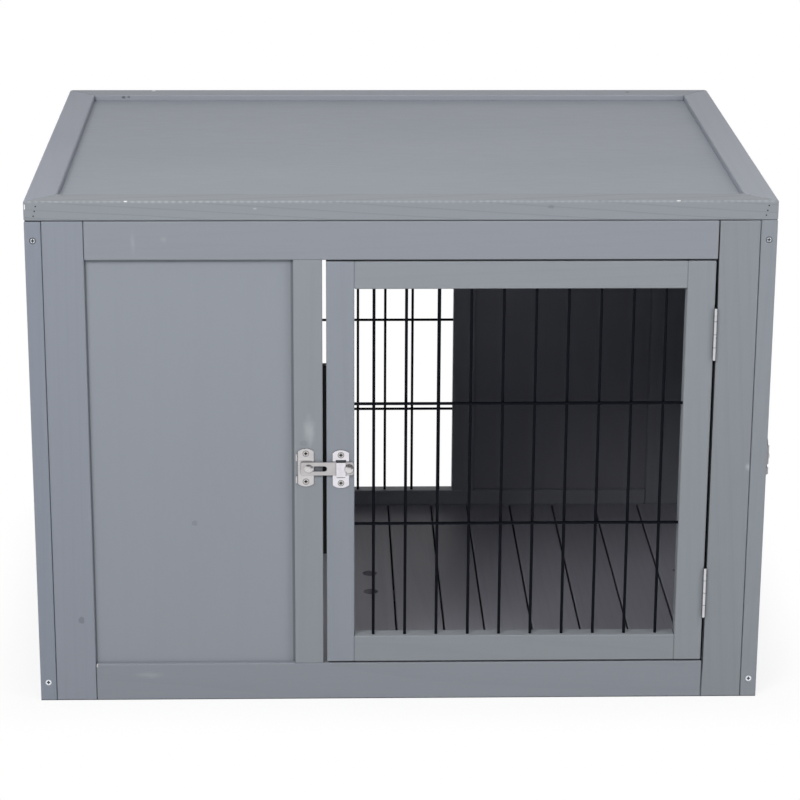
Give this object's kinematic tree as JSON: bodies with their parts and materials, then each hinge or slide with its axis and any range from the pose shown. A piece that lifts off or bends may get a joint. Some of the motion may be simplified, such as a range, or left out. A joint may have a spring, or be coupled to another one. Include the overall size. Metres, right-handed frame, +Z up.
{
  "type": "pet crate",
  "caption": "Free-standing painted wooden pet crate with framed panels, a sunken-panel lid, a barred front door, a solid side door, flip latches and a barred back window.",
  "frame": {"origin": "on the ground under the middle of the box", "axes": "+X to the right as one faces the front, +Y from the front to the back, +Z up"},
  "size_m": [0.8289, 0.6089, 0.586],
  "materials": {
    "frame": "satin grey paint",
    "panel": "satin grey paint",
    "floor": "satin grey paint",
    "wire": "satin black coating",
    "steel": "nickel-plated"
  },
  "bodies": {
    "crate": {"back_bottom_rail": "frame", "back_grille": "wire", "back_left_stile": "frame", "back_mid_stile": "frame", "back_panel": "panel", "back_right_stile": "frame", "back_top_rail": "frame", "corner_screws": "steel", "floor_bearers": "floor", "floor_boards": "floor", "floor_finger_board": "floor", "frame_hardware_screws": "steel", "front_bottom_rail": "frame", "front_door_stop": "frame", "front_latch_plate": "steel", "front_left_stile": "frame", "front_mid_stile": "frame", "front_panel": "panel", "front_right_stile": "frame", "front_top_rail": "frame", "hinge_frame_leaves": "steel", "hinge_pins": "steel", "latch_studs": "steel", "left_back_post": "frame", "left_bottom_rail": "frame", "left_front_post": "frame", "left_panel": "panel", "left_top_rail": "frame", "lid_back_rail": "frame", "lid_front_rail": "frame", "lid_left_rail": "frame", "lid_panel": "panel", "lid_pins": "steel", "lid_right_rail": "frame", "right_back_post": "frame", "right_bottom_rail": "frame", "right_front_post": "frame", "right_top_rail": "frame", "side_door_stop": "frame", "side_latch_plate": "steel"},
    "front_door": {"front_door_latch_stile": "frame", "front_door_hinge_stile": "frame", "front_door_top_rail": "frame", "front_door_bottom_rail": "frame", "front_door_grille": "wire", "front_door_hinge_leaves": "steel", "front_door_keeper": "steel", "front_door_screws": "steel"},
    "side_door": {"side_door_latch_stile": "frame", "side_door_hinge_stile": "frame", "side_door_top_rail": "frame", "side_door_bottom_rail": "frame", "side_door_panel": "panel", "side_door_hinge_leaves": "steel", "side_door_keeper": "steel", "side_door_screws": "steel"},
    "front_latch": {"front_latch_bar": "steel", "front_latch_knob": "steel"},
    "side_latch": {"side_latch_bar": "steel", "side_latch_knob": "steel"}
  },
  "joints": [
    {"name": "front_door_hinge", "type": "hinge", "parent": "crate", "child": "front_door", "pos_m": [0.3455, -0.3025, 0.282], "axis": [0, 0, 1], "range_deg": [0, 170]},
    {"name": "side_door_hinge", "type": "hinge", "parent": "crate", "child": "side_door", "pos_m": [0.4125, 0.2535, 0.282], "axis": [0, 0, 1], "range_deg": [0, 170]},
    {"name": "front_latch_flip", "type": "hinge", "parent": "crate", "child": "front_latch", "pos_m": [-0.103, -0.3025, 0.28], "axis": [0, -1, 0], "range_deg": [0, 95]},
    {"name": "side_latch_flip", "type": "hinge", "parent": "crate", "child": "side_latch", "pos_m": [0.4125, -0.2838, 0.287], "axis": [1, 0, 0], "range_deg": [0, 95]}
  ]
}
